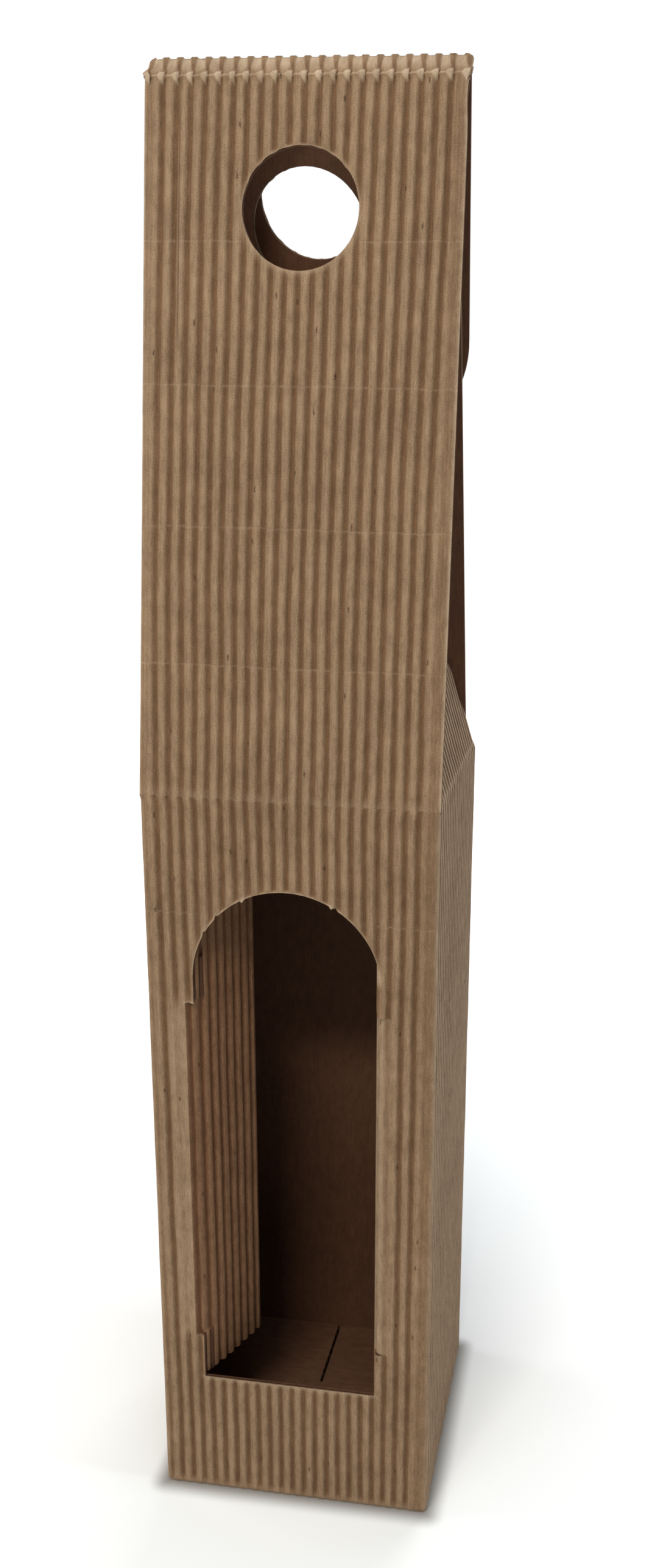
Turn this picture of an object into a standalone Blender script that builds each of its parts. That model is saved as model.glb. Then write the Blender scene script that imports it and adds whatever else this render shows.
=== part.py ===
"""Single-bottle wine carrier, folded from one blank of single-face corrugated kraft board.

Every panel of the blank is two plies: a smooth liner on the inside and a fluted
sheet on the outside. The panels meet at creases, and each crease that can still
move after gluing has the origin of its moving pieces on it.

World axes: +X to the right, +Y to the back, +Z up. The origin is the middle of
the base. Each board is drawn in its own plane first: X across the flutes, Y along
them from the crease, Z out of the fluted face.
"""

import math

import bmesh
import bpy
from mathutils import Matrix, Vector

MM = 0.001

# Board: liner, then a thin gap, then the wavy sheet
LINER_THICKNESS = 0.30 * MM
PLY_GAP = 0.10 * MM
FLUTE_DEPTH = 0.95 * MM
FLUTE_PAPER = 0.25 * MM
FLUTE_PITCH = 3.53 * MM
CREST_WIDTH = 1.80 * MM
BOARD = LINER_THICKNESS + PLY_GAP + FLUTE_DEPTH + FLUTE_PAPER

# Clearances
BUTT_GAP = 0.30 * MM
CREASE_GAP = 0.15 * MM
FLUTING_LIFT = 0.40 * MM

# Body, outside sizes
BODY_WIDTH = 82.0 * MM
BODY_DEPTH = 78.0 * MM
SHOULDER_HEIGHT = 223.4 * MM

# Window in the front panel, and its two leaves
WINDOW_WIDTH = 54.0 * MM
WINDOW_OFFSET = -1.5 * MM
WINDOW_SILL = 40.2 * MM
WINDOW_SPRING = 171.5 * MM
LEAF_CLEARANCE = 0.30 * MM
LEFT_LEAF_OPEN = math.radians(68.0)
RIGHT_LEAF_OPEN = math.radians(84.0)

# Handle: front panel, ridge strip, closure flap, rear panel
FRONT_HANDLE_LENGTH = 182.2 * MM
FRONT_HANDLE_LEAN = math.radians(7.6)
RIDGE_LENGTH = 6.8 * MM
RIDGE_TILT = math.radians(47.9)
CLOSURE_LENGTH = 97.5 * MM
CLOSURE_END_WIDTH = 79.6 * MM
CLOSURE_CORNER_RADIUS = 30.0 * MM
HOOK_CLEARANCE = 0.50 * MM
HOOK_SLACK = 7.0 * MM
REAR_HANDLE_WIDTH = 78.0 * MM
REAR_HANDLE_OFFSET = -1.0 * MM
REAR_TOP_MARGIN = 6.0 * MM

# Finger holes
HOLE_RADIUS = 15.0 * MM
FRONT_HOLE_DROP = 31.7 * MM
CLOSURE_HOLE_DROP = 32.4 * MM
REAR_HOLE_OFFSET = -1.8 * MM

# Gusset flaps between the two handle panels
GUSSET_LENGTH = 36.0 * MM
GUSSET_LEAN = math.radians(16.5)
GUSSET_CLEARANCE = 0.80 * MM

# Floor flaps: heights of their underside, and how far they reach
SIDE_FLAP_HEIGHT = 3.4 * MM
FRONT_FLAP_HEIGHT = 5.4 * MM
FRONT_FLAP_REACH = 41.6 * MM
REAR_FLAP_REACH = 67.0 * MM
FLOOR_SLIT_X = -2.4 * MM
FLOOR_SLIT_WIDTH = 1.0 * MM

# Glue tab on the inside of the left panel
TAB_WIDTH = 15.0 * MM
TAB_FOOT = 11.0 * MM
TAB_HEAD = 11.0 * MM

CIRCLE_SEGMENTS = 32
CUTTER_REACH = 6.0 * MM

FLUTING_COLOUR = (0.42, 0.27, 0.15, 1.0)
LINER_COLOUR = (0.24, 0.14, 0.075, 1.0)
PAPER_ROUGHNESS = 0.85

RIGHT = Vector((1.0, 0.0, 0.0))
BACK = Vector((0.0, 1.0, 0.0))
UP = Vector((0.0, 0.0, 1.0))


def clear_scene():
    """Remove whatever the file held before."""
    for old in list(bpy.data.objects):
        bpy.data.objects.remove(old, do_unlink=True)


def make_collection(name):
    """A collection of the scene."""
    collection = bpy.data.collections.new(name)
    bpy.context.scene.collection.children.link(collection)
    return collection


def make_material(name, colour):
    """Matt uncoated paper."""
    material = bpy.data.materials.new(name)
    material.use_nodes = True
    shader = material.node_tree.nodes["Principled BSDF"]
    shader.inputs["Base Color"].default_value = colour
    shader.inputs["Roughness"].default_value = PAPER_ROUGHNESS
    shader.inputs["Metallic"].default_value = 0.0
    material.diffuse_color = colour
    return material


def arc(centre, radius, start, end, steps):
    """Points on a circular arc, both ends included."""
    angles = [start + (end - start) * i / steps for i in range(steps + 1)]
    return [(centre[0] + radius * math.cos(a), centre[1] + radius * math.sin(a)) for a in angles]


def circle(centre, radius):
    """A closed circle."""
    return arc(centre, radius, 0.0, 2.0 * math.pi, CIRCLE_SEGMENTS)[:-1]


def rectangle(left, right, foot, head):
    """A closed rectangle."""
    return [(left, foot), (right, foot), (right, head), (left, head)]


def extrude_outline(name, loops, thickness):
    """A flat plate: the first loop is its edge, the others are holes; centred on Z = 0."""
    curve = bpy.data.curves.new(name, "CURVE")
    curve.dimensions = "2D"
    curve.fill_mode = "BOTH"
    curve.extrude = thickness / 2
    for loop in loops:
        spline = curve.splines.new("POLY")
        spline.points.add(len(loop) - 1)
        spline.use_cyclic_u = True
        for point, (x, y) in zip(spline.points, loop):
            point.co = (x, y, 0.0, 1.0)
    guide = bpy.data.objects.new(name, curve)
    bpy.context.scene.collection.objects.link(guide)
    evaluated = guide.evaluated_get(bpy.context.evaluated_depsgraph_get())
    mesh = bpy.data.meshes.new_from_object(evaluated)
    bpy.data.objects.remove(guide)
    bpy.data.curves.remove(curve)
    mesh.name = name
    work = bmesh.new()
    work.from_mesh(mesh)
    bmesh.ops.remove_doubles(work, verts=work.verts, dist=0.001 * MM)
    bmesh.ops.recalc_face_normals(work, faces=work.faces)
    work.to_mesh(mesh)
    work.free()
    return mesh


def flute_profile(left, right):
    """Section of the wavy sheet across the flutes: wide flat crests, narrow valleys."""
    count = max(1, round((right - left) / FLUTE_PITCH))
    pitch = (right - left) / count
    flank = (pitch - CREST_WIDTH) / 2
    top = [(left, 0.0)]
    for i in range(count):
        valley = left + (i + 0.5) * pitch
        top.append((valley - flank, 0.0))
        top.append((valley, -FLUTE_DEPTH))
        top.append((valley + flank, 0.0))
    top.append((right, 0.0))
    underside = [(x, depth - FLUTE_PAPER) for x, depth in reversed(top)]
    return top + underside


def fluted_mesh(name, left, right, foot, head, face):
    """The wavy sheet of a board, its crests at Z = face, its flutes along Y."""
    mesh = extrude_outline(name, [flute_profile(left, right)], head - foot)
    mesh.transform(Matrix.Rotation(math.radians(90.0), 4, "X"))
    mesh.transform(Matrix.Translation((0.0, (foot + head) / 2, face)))
    return mesh


def liner_mesh(name, loops, face):
    """The smooth sheet of a board, on the inner side of the flutes."""
    mesh = extrude_outline(name, loops, LINER_THICKNESS)
    mesh.transform(Matrix.Translation((0.0, 0.0, face - BOARD + LINER_THICKNESS / 2)))
    return mesh


def mitre_end(mesh, end, slope, face):
    """Cut an end of a ply at a slant, so that two boards meet at a crease without overlap."""
    for vertex in mesh.vertices:
        if abs(vertex.co.y - end) < 0.01 * MM:
            vertex.co.y += slope * (face - vertex.co.z)


def board_frame(origin, along, outward):
    """Place of a board: its crease point, the way its flutes run, the way its flutes face."""
    across = along.cross(outward)
    matrix = Matrix((across, along, outward)).transposed().to_4x4()
    matrix.translation = origin
    return matrix


def place(name, mesh, frame, collection):
    """A named object with its origin on the board's crease."""
    piece = bpy.data.objects.new(name, mesh)
    piece.location = frame.to_translation()
    piece.rotation_euler = frame.to_euler()
    collection.objects.link(piece)
    return piece


class Board:
    """One panel of the blank: a liner node and a fluting node on the same frame."""

    parts = None
    cutters = None
    fluting_paper = None
    liner_paper = None

    def __init__(self, name, frame, left, right, foot, head, face=0.0):
        self.name = name
        self.frame = frame
        self.left = left
        self.right = right
        self.foot = foot
        self.head = head
        self.face = face
        self.foot_slope = 0.0
        self.head_slope = 0.0
        self.outline = rectangle(left, right, foot, head)
        self.trim = None
        self.holes = []
        self.fluting_lift = 0.0

    def cut(self, fluting, label, operation, loop):
        """Shape the fluting with a prism of an outline."""
        mesh = extrude_outline(self.name + "_" + label, [loop], 2.0 * CUTTER_REACH)
        cutter = place(mesh.name, mesh, self.frame, self.cutters)
        cutter.hide_render = True
        cutter.display_type = "WIRE"
        boolean = fluting.modifiers.new(label, "BOOLEAN")
        boolean.operation = operation
        boolean.solver = "EXACT"
        boolean.object = cutter

    def build(self):
        """Make both plies."""
        liner = liner_mesh(self.name + "_liner", [self.outline] + self.holes, self.face)
        liner.materials.append(self.liner_paper)
        foot = self.foot + self.fluting_lift
        fluting = fluted_mesh(self.name + "_fluting", self.left, self.right, foot, self.head,
                              self.face)
        fluting.materials.append(self.fluting_paper)
        for mesh, low in ((liner, self.foot), (fluting, foot)):
            mitre_end(mesh, low, self.foot_slope, self.face)
            mitre_end(mesh, self.head, -self.head_slope, self.face)
        place(liner.name, liner, self.frame, self.parts)
        sheet = place(fluting.name, fluting, self.frame, self.parts)
        if self.trim:
            self.cut(sheet, "trim", "INTERSECT", self.trim)
        for i, hole in enumerate(self.holes):
            self.cut(sheet, "hole_%d" % i, "DIFFERENCE", hole)


def window_outline():
    """The window: straight sides, a sill, and a half-round arch as wide as the window."""
    radius = WINDOW_WIDTH / 2
    left = WINDOW_OFFSET - radius
    right = WINDOW_OFFSET + radius
    head = arc((WINDOW_OFFSET, WINDOW_SPRING), radius, 0.0, math.pi, CIRCLE_SEGMENTS // 2)
    return [(left, WINDOW_SILL), (right, WINDOW_SILL)] + head


def leaf_outline(side, sill):
    """Half of the window, measured from its hinge: side is +1 for the left leaf, -1 for the right."""
    radius = WINDOW_WIDTH / 2
    free = radius - LEAF_CLEARANCE / 2
    inner = radius - LEAF_CLEARANCE
    steps = CIRCLE_SEGMENTS // 4
    top = arc((radius, WINDOW_SPRING), inner, math.pi / 2, math.pi, steps)
    corner = [(LEAF_CLEARANCE, sill), (free, sill)]
    points = corner + [(min(x, free), y) for x, y in top]
    return [(side * x, y) for x, y in points]


def build_walls():
    """Front, right, back and left panels, and the glue tab inside the left one."""
    half_width = BODY_WIDTH / 2
    half_depth = BODY_DEPTH / 2
    half_side = half_depth - BOARD - BUTT_GAP
    head = SHOULDER_HEIGHT - CREASE_GAP
    front = Board("front_panel", board_frame(-BACK * half_depth, UP, -BACK),
                  -half_width, half_width, 0.0, head)
    front.holes = [window_outline()]
    back = Board("back_panel", board_frame(BACK * half_depth, UP, BACK),
                 -half_width, half_width, 0.0, head)
    right = Board("right_panel", board_frame(RIGHT * half_width, UP, RIGHT),
                  -half_side, half_side, 0.0, head)
    left = Board("left_panel", board_frame(-RIGHT * half_width, UP, -RIGHT),
                 -half_side, half_side, 0.0, head)
    for wall in (front, right, back, left):
        wall.fluting_lift = FLUTING_LIFT
        wall.build()
    tab_face = -RIGHT * (half_width - BOARD - BUTT_GAP)
    tab = Board("glue_tab", board_frame(tab_face, UP, -RIGHT),
                half_side - TAB_WIDTH, half_side, TAB_FOOT, SHOULDER_HEIGHT - TAB_HEAD)
    tab.build()


def build_floor():
    """Four flaps: the rear one rests on the ground, then both side ones, then the front one."""
    half_width = BODY_WIDTH / 2 - BOARD - BUTT_GAP
    half_depth = BODY_DEPTH / 2 - BOARD - BUTT_GAP
    slit = FLOOR_SLIT_WIDTH / 2
    side_lift = UP * SIDE_FLAP_HEIGHT
    flaps = (
        ("rear_floor_flap", BACK * half_depth, -BACK, half_width, REAR_FLAP_REACH),
        ("right_floor_flap", RIGHT * half_width + side_lift, -RIGHT, half_depth,
         half_width - FLOOR_SLIT_X - slit),
        ("left_floor_flap", -RIGHT * half_width + side_lift, RIGHT, half_depth,
         half_width + FLOOR_SLIT_X - slit),
        ("front_floor_flap", -BACK * half_depth + UP * FRONT_FLAP_HEIGHT, BACK, half_width,
         FRONT_FLAP_REACH),
    )
    for name, origin, along, half, reach in flaps:
        Board(name, board_frame(origin, along, -UP), -half, half, 0.0, reach).build()


def build_window_leaves():
    """Two leaves pushed inward, each hinged on the inner face at a side of the window."""
    sill = WINDOW_SILL + LEAF_CLEARANCE
    inner_face = -BACK * (BODY_DEPTH / 2 - BOARD)
    head = WINDOW_SPRING + WINDOW_WIDTH / 2
    for name, side, angle in (("left_window_leaf", 1.0, LEFT_LEAF_OPEN),
                              ("right_window_leaf", -1.0, -RIGHT_LEAF_OPEN)):
        hinge = RIGHT * (WINDOW_OFFSET - side * WINDOW_WIDTH / 2)
        outward = RIGHT * math.sin(angle) - BACK * math.cos(angle)
        edges = sorted((0.0, side * WINDOW_WIDTH / 2))
        leaf = Board(name, board_frame(hinge + inner_face, UP, outward),
                     edges[0], edges[1], sill, head, face=BOARD)
        leaf.outline = leaf_outline(side, sill)
        leaf.trim = leaf_outline(side, sill - CUTTER_REACH)
        leaf.build()


def lean_frame(crease, lean):
    """Frame of a board that rises from a crease and tips by an angle from upright to the back."""
    along = BACK * math.sin(lean) + UP * math.cos(lean)
    outward = -BACK * math.cos(lean) + UP * math.sin(lean)
    return board_frame(crease, along, outward)


def closure_outline(foot):
    """The closure flap: full width at its crease, a little narrower below, round corners."""
    half_top = BODY_WIDTH / 2
    half_end = CLOSURE_END_WIDTH / 2
    radius = CLOSURE_CORNER_RADIUS
    centre_y = CLOSURE_LENGTH - radius
    steps = CIRCLE_SEGMENTS // 4
    right_corner = arc((half_end - radius, centre_y), radius, 0.0, math.pi / 2, steps)
    left_corner = [(-x, y) for x, y in reversed(right_corner)]
    return [(-half_top, foot), (half_top, foot)] + right_corner + left_corner


def build_handle():
    """Front handle panel, ridge strip, closure flap hooked over the rear handle panel."""
    half_width = BODY_WIDTH / 2
    shoulder = UP * SHOULDER_HEIGHT
    front_crease = shoulder - BACK * BODY_DEPTH / 2
    front_frame = lean_frame(front_crease, FRONT_HANDLE_LEAN)
    front = Board("front_handle_panel", front_frame, -half_width, half_width,
                  CREASE_GAP, FRONT_HANDLE_LENGTH - CREASE_GAP)
    ridge_bend = (RIDGE_TILT - FRONT_HANDLE_LEAN) / 2
    front.foot_slope = math.tan(FRONT_HANDLE_LEAN)
    front.head_slope = math.tan(ridge_bend)
    front.holes = [circle((0.0, FRONT_HANDLE_LENGTH - FRONT_HOLE_DROP), HOLE_RADIUS)]
    front.build()

    ridge_crease = front_frame @ Vector((0.0, FRONT_HANDLE_LENGTH, 0.0))
    ridge_frame = lean_frame(ridge_crease, RIDGE_TILT)
    closure_crease = ridge_frame @ Vector((0.0, RIDGE_LENGTH, 0.0))

    rear_crease = shoulder + BACK * BODY_DEPTH / 2
    rear_lean = hook_lean(closure_crease - rear_crease)
    closure_tilt = math.pi - rear_lean
    closure_bend = (closure_tilt - RIDGE_TILT) / 2

    ridge = Board("ridge_strip", ridge_frame, -half_width, half_width,
                  CREASE_GAP, RIDGE_LENGTH - CREASE_GAP)
    ridge.foot_slope = math.tan(ridge_bend)
    ridge.head_slope = math.tan(closure_bend)
    ridge.build()

    closure_frame = lean_frame(closure_crease, closure_tilt)
    closure = Board("closure_flap", closure_frame, -half_width, half_width,
                    CREASE_GAP, CLOSURE_LENGTH)
    closure.foot_slope = math.tan(closure_bend)
    closure.outline = closure_outline(CREASE_GAP)
    closure.trim = closure_outline(-CUTTER_REACH)
    closure.holes = [circle((0.0, CLOSURE_HOLE_DROP), HOLE_RADIUS)]
    closure.build()

    along = UP * math.cos(rear_lean) - BACK * math.sin(rear_lean)
    outward = BACK * math.cos(rear_lean) + UP * math.sin(rear_lean)
    closure_hole = closure_frame @ Vector((0.0, CLOSURE_HOLE_DROP, 0.0))
    hole_height = (closure_hole - rear_crease).dot(along) - HOOK_SLACK
    rear = Board("rear_handle_panel", board_frame(rear_crease, along, outward),
                 -REAR_HANDLE_OFFSET - REAR_HANDLE_WIDTH / 2,
                 -REAR_HANDLE_OFFSET + REAR_HANDLE_WIDTH / 2,
                 CREASE_GAP, hole_height + HOLE_RADIUS + REAR_TOP_MARGIN)
    rear.foot_slope = math.tan(rear_lean)
    rear.holes = [circle((-REAR_HOLE_OFFSET, hole_height), HOLE_RADIUS)]
    rear.build()
    return rear_lean


def hook_lean(reach):
    """Lean of the rear panel that brings its face just inside the closure flap.

    reach runs from the rear shoulder crease to the closure crease. The panel and the
    flap are parallel, a board and a clearance apart.
    """
    straight = math.atan2(-reach.y, reach.z)
    return straight + math.asin((BOARD + HOOK_CLEARANCE) / reach.length)


def gusset_outline(side, rear_lean, foot, head):
    """A flap as wide as the space between the two handle panels at every height."""
    half = BODY_DEPTH / 2 - BOARD - GUSSET_CLEARANCE
    front_taper = math.tan(FRONT_HANDLE_LEAN)
    rear_taper = math.tan(rear_lean)
    points = [(-half + front_taper * foot, foot), (half - rear_taper * foot, foot),
              (half - rear_taper * head, head), (-half + front_taper * head, head)]
    return [(side * x, y) for x, y in points]


def build_gussets(rear_lean):
    """Left and right flaps that lean in from the side shoulders."""
    half_depth = BODY_DEPTH / 2 - BOARD - GUSSET_CLEARANCE
    for name, side in (("right_gusset_flap", 1.0), ("left_gusset_flap", -1.0)):
        crease = RIGHT * side * (BODY_WIDTH / 2 - BOARD) + UP * SHOULDER_HEIGHT
        along = UP * math.cos(GUSSET_LEAN) - RIGHT * side * math.sin(GUSSET_LEAN)
        outward = RIGHT * side * math.cos(GUSSET_LEAN) + UP * math.sin(GUSSET_LEAN)
        gusset = Board(name, board_frame(crease, along, outward), -half_depth, half_depth,
                       BUTT_GAP, GUSSET_LENGTH, face=BOARD)
        gusset.outline = gusset_outline(side, rear_lean, BUTT_GAP, GUSSET_LENGTH)
        gusset.trim = gusset_outline(side, rear_lean, -CUTTER_REACH,
                                     GUSSET_LENGTH + CUTTER_REACH)
        gusset.build()


def main():
    clear_scene()
    Board.parts = make_collection("wine_box")
    Board.cutters = make_collection("cutters")
    Board.fluting_paper = make_material("kraft_fluting", FLUTING_COLOUR)
    Board.liner_paper = make_material("kraft_liner", LINER_COLOUR)
    build_walls()
    build_floor()
    build_window_leaves()
    rear_lean = build_handle()
    build_gussets(rear_lean)


main()
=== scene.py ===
"""Wine carrier of single-face corrugated kraft board, dressed over its CAD frame.

Every panel has two papers, as in the CAD model: a fluted sheet outside and a smooth
lining inside. Both are surfaces over board coordinates: u across the flutes, v along
them from the crease, w out of the fluted face. Folds that move have a bent strip of
their own. Lengths are in millimetres until a piece is saved; the camera's place is
turned into metres, and the lamps and the table are in metres.
"""
import math
from functools import partial

import bpy
import numpy as np
from mathutils import Matrix, Vector


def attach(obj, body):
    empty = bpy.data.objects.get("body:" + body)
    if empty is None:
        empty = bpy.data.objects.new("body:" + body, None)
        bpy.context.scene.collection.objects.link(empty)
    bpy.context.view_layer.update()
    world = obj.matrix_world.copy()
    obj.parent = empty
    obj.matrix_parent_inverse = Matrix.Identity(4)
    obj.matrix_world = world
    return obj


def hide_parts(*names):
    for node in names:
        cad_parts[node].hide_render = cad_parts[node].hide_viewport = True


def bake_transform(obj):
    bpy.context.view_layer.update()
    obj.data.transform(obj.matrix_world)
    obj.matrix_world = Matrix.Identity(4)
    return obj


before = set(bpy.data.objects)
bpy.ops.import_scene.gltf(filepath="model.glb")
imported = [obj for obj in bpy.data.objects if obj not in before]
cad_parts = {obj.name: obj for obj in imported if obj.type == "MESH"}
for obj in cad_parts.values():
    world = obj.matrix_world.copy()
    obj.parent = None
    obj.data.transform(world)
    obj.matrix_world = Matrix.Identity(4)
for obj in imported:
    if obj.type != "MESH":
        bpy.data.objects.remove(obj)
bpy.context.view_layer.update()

MM = 0.001
FAR = 1000.0

# Board, as in the CAD model
FLUTE_DEPTH = 0.95
FLUTE_PAPER = 0.25
LINING_DROP = 1.30
LINING_PAPER = 0.26
BOARD = 1.60

# Body and handle, as in the CAD model
HALF_WIDTH = 41.0
HALF_DEPTH = 39.0
SHOULDER = 223.4
CORNER = 1.6
HANDLE_LENGTH = 182.2
HANDLE_LEAN = math.radians(7.6)
RIDGE_LENGTH = 6.8
RIDGE_TILT = math.radians(47.9)
CLOSURE_LENGTH = 97.5
CLOSURE_HALF_END = 39.8
CLOSURE_CORNER = 30.0
HOOK_CLEARANCE = 0.5
HOOK_SLACK = 7.0
REAR_LEFT = -38.0
REAR_RIGHT = 40.0
REAR_TOP_MARGIN = 6.0
HOLE_RADIUS = 15.0
HOLE_DROP = 31.7
HOLE_SHIFT = -0.3
CLOSURE_HOLE_DROP = 32.4
REAR_HOLE_U = 1.8
HOLE_MARGIN = 2.0

# Window in the front panel
SILL = 40.2
SPRING = 171.5
ARCH_CENTRE = -1.0
ARCH_RADIUS = 26.6
ARCH_FOOT = 179.4
ARCH_CAP = 202.0
EAR_LEFT = ARCH_CENTRE - ARCH_RADIUS
EAR_RIGHT = 24.4
FOLD_FOOT = 54.7
FOLD_HEAD = 163.4
FOLD_LEFT = -30.0
FOLD_RIGHT = 29.0
TORN_PLACES = (-24.2, -20.6, -13.1, 11.6)

# Window leaves
LEAF_HINGE_LEFT = -28.5
LEAF_HINGE_RIGHT = 25.5
LEAF_LEFT_OPEN = math.radians(68.0)
LEAF_RIGHT_OPEN = math.radians(84.0)
LEAF_WIDTH = 26.85
LEAF_ARCH = 26.2
LEAF_GAP = 0.3
EAR_BACK = 1.4
LEFT_NICK = 15.4
RIGHT_NICK = 13.9
EAR_STEPS = np.array([0.0, 0.2, 0.4])
LEAF_FOLD_LEFT = 9.0
LEAF_FOLD_RIGHT = 5.0

# Gusset flaps and floor
GUSSET_LENGTH = 36.0
GUSSET_LEAN = math.radians(16.5)
GUSSET_HALF = 36.6
GUSSET_FOLD_LOW = 0.9
GUSSET_FOLD_HIGH = 1.2
BUTT_GAP = 0.3
INNER_WIDTH = HALF_WIDTH - BOARD - BUTT_GAP
INNER_DEPTH = HALF_DEPTH - BOARD - BUTT_GAP
SIDE_FLAP_HEIGHT = 3.4
FRONT_FLAP_HEIGHT = 5.4
FRONT_FLAP_REACH = 41.6
REAR_FLAP_REACH = 67.0
FLOOR_SLIT_X = -2.4
FLOOR_SLIT_HALF = 0.5
TAB_WIDTH = 15.0
TAB_FOOT = 11.0
FOOT_TUCK = 0.9

# Scored lines across the handle, measured along the front from the floor
SCORES = [190.2, 223.5, 259.0, 294.9, 330.7, 366.1]

# Flutes: sharpness of the valleys, and how far both sides of a panel are pressed flat
FLUTE_POWER = 3.5
CUT_SIDES = (-HALF_WIDTH, HALF_WIDTH, 0.75, 0.8)
TRIMMED_SIDES = (-HALF_WIDTH, HALF_WIDTH, 0.5, 0.5)

# Grid steps across and along the sheets
FRONT_STEP = 0.26
WALL_STEP = 0.28
FLOOR_STEP = 0.35
GUSSET_STEP = 0.24
GUSSET_ROW = 0.79
SMOOTH_STEP = 2.0
SMOOTH_ROW = 6.0
LEAST_STEP = 0.03
WELD = 0.002

# Distance on the chart between the papers of unlike panels, and between the two papers of one
CHART_TURN = 700.0
CHART_SIDE = 500.0

# The two papers of a board: thickness, ending of the CAD node, and slot
PAPERS = {"flutes": (FLUTE_PAPER, "_fluting", "kraft_fluting"),
          "lining": (LINING_PAPER, "_liner", "kraft_liner")}

# Kraft papers: name, light and dark pulp, painted shade of the valleys, pale pulp for worn places and
# painted highlights, share of flecks, depth of the grain in metres, and roughness
NO_TINT = (1.0, 1.0, 1.0)
KRAFT = {
    # The leaf kraft is the fluting made darker and redder: painted shade inside the window.
    "leaf": ("kraft_leaf", (0.325, 0.178, 0.097), (0.168, 0.086, 0.043), (0.54, 0.43, 0.34),
             (0.42, 0.28, 0.18), 0.15, 0.00012, 0.85),
    "fluting": ("kraft_fluting", (0.350, 0.230, 0.137), (0.187, 0.114, 0.063), (0.56, 0.455, 0.365),
                (0.55, 0.445, 0.335), 0.22, 0.00012, 0.82),
    # Both linings are far darker than the liner: painted shade inside the box and between the handle panels.
    # The outer lining is a little lighter, with a little less painted shade.
    "lining": ("kraft_lining", (0.150, 0.070, 0.037), (0.086, 0.038, 0.021), NO_TINT,
               (0.18, 0.11, 0.075), 0.02, 0.00006, 0.85),
    "outer_lining": ("kraft_outer_lining", (0.168, 0.079, 0.042), (0.097, 0.043, 0.024), NO_TINT,
                     (0.24, 0.15, 0.10), 0.02, 0.00006, 0.85),
    "cut": ("kraft_cut_edge", (0.30, 0.205, 0.13), (0.19, 0.125, 0.08), NO_TINT,
            (0.45, 0.34, 0.24), 0.0, 0.00005, 0.9),
}
LOOKS = {}

# Camera of the photograph, in pixels of its picture
PHOTO_WIDTH = 1059.0
PHOTO_HEIGHT = 2576.0
FOCAL = 2232.5
CENTRE_X = 721.8
CENTRE_Y = 1291.0
SENSOR = 36.0

RIGHT = np.array([1.0, 0.0, 0.0])
BACK = np.array([0.0, 1.0, 0.0])
UP = np.array([0.0, 0.0, 1.0])


def ease(x):
    """0 below 0, 1 above 1, and the cubic 3x^2 - 2x^3 between."""
    x = np.clip(x, 0.0, 1.0)
    return x * x * (3.0 - 2.0 * x)


def bell(x, width):
    """The Gaussian exp(-(x / width)^2)."""
    return np.exp(-(x / width) ** 2)


def passing(a, b, share):
    """From a to b in proportion, as the share goes from 0 to 1."""
    return a * (1.0 - share) + b * share


def ripple(u, v, length, turn):
    """Slow unevenness from -1 to 1: three sines of unlike lengths and directions, averaged."""
    a = np.sin(u / length * 6.1 + v / length * 0.9 + turn)
    b = np.sin(u / length * 3.7 - v / length * 1.7 + 2.3 * turn)
    c = np.sin(u / length * 1.3 + v / length * 3.1 + 4.1 * turn)
    return (a + b + c) / 3.0


class Board:
    """Plane of a panel, with its place on the blank: points are origin + u across + v along + w out."""

    def __init__(self, origin, along, outward, start=0.0, face=0.0, turn=0.0):
        self.origin = np.asarray(origin, float)
        self.along = np.asarray(along, float)
        self.outward = np.asarray(outward, float)
        self.across = np.cross(self.along, self.outward)
        self.start = start
        self.face = face
        self.turn = turn

    def point(self, u, v, w=0.0):
        u, v, w = np.broadcast_arrays(u, v, w)
        return (self.origin + u[..., None] * self.across + v[..., None] * self.along
                + (w + self.face)[..., None] * self.outward)


def lean_board(crease, lean, start):
    """A board that rises from a crease and tips by an angle from upright to the back."""
    along = BACK * math.sin(lean) + UP * math.cos(lean)
    outward = -BACK * math.cos(lean) + UP * math.sin(lean)
    return Board(crease, along, outward, start)


def spread(start, end, step, extras=()):
    """Even values from start to end about a step apart, with extra values among them."""
    count = max(1, int(round((end - start) / step)))
    values = np.concatenate([np.linspace(start, end, count + 1), np.ravel(extras)])
    values = np.unique(np.clip(values, start, end))
    keep = np.concatenate([[True], np.diff(values) > LEAST_STEP])
    keep[-1] = True
    values = values[keep]
    if values[-1] - values[-2] < LEAST_STEP:
        values = np.delete(values, -2)
    return values


def around(centre, reach, step):
    """Values about a step apart on both sides of a centre."""
    count = int(round(reach / step))
    return centre + np.arange(-count, count + 1) * step


def with_marks(values, marks, room=0.12):
    """The values with one on each mark; those nearer to a mark than the room give way."""
    for mark in marks:
        values = np.append(values[np.abs(values - mark) > room], mark)
    return np.sort(values)


def arc_columns(centre, radius, count=48):
    """Places across a circle at even angles, so that its steep ends are well drawn."""
    return centre + radius * np.cos(np.linspace(0.0, math.pi, count + 1))


def half_chord(x, radius):
    """Half the height of a circle at a distance x from its centre, 0 outside."""
    return np.sqrt(np.maximum(radius * radius - x * x, 0.0))


def between(values, low, high):
    """The values from low to high, both ends included."""
    inside = values[(values > low + 1e-4) & (values < high - 1e-4)]
    return np.concatenate([[low], inside, [high]])


def grid_quads(shape, first=0):
    """Faces of a grid whose points are numbered row by row from the first number."""
    index = first + np.arange(shape[0] * shape[1]).reshape(shape)
    quads = np.stack([index[:-1, :-1], index[:-1, 1:], index[1:, 1:], index[1:, :-1]], axis=-1)
    return quads.reshape(-1, 4)


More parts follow.
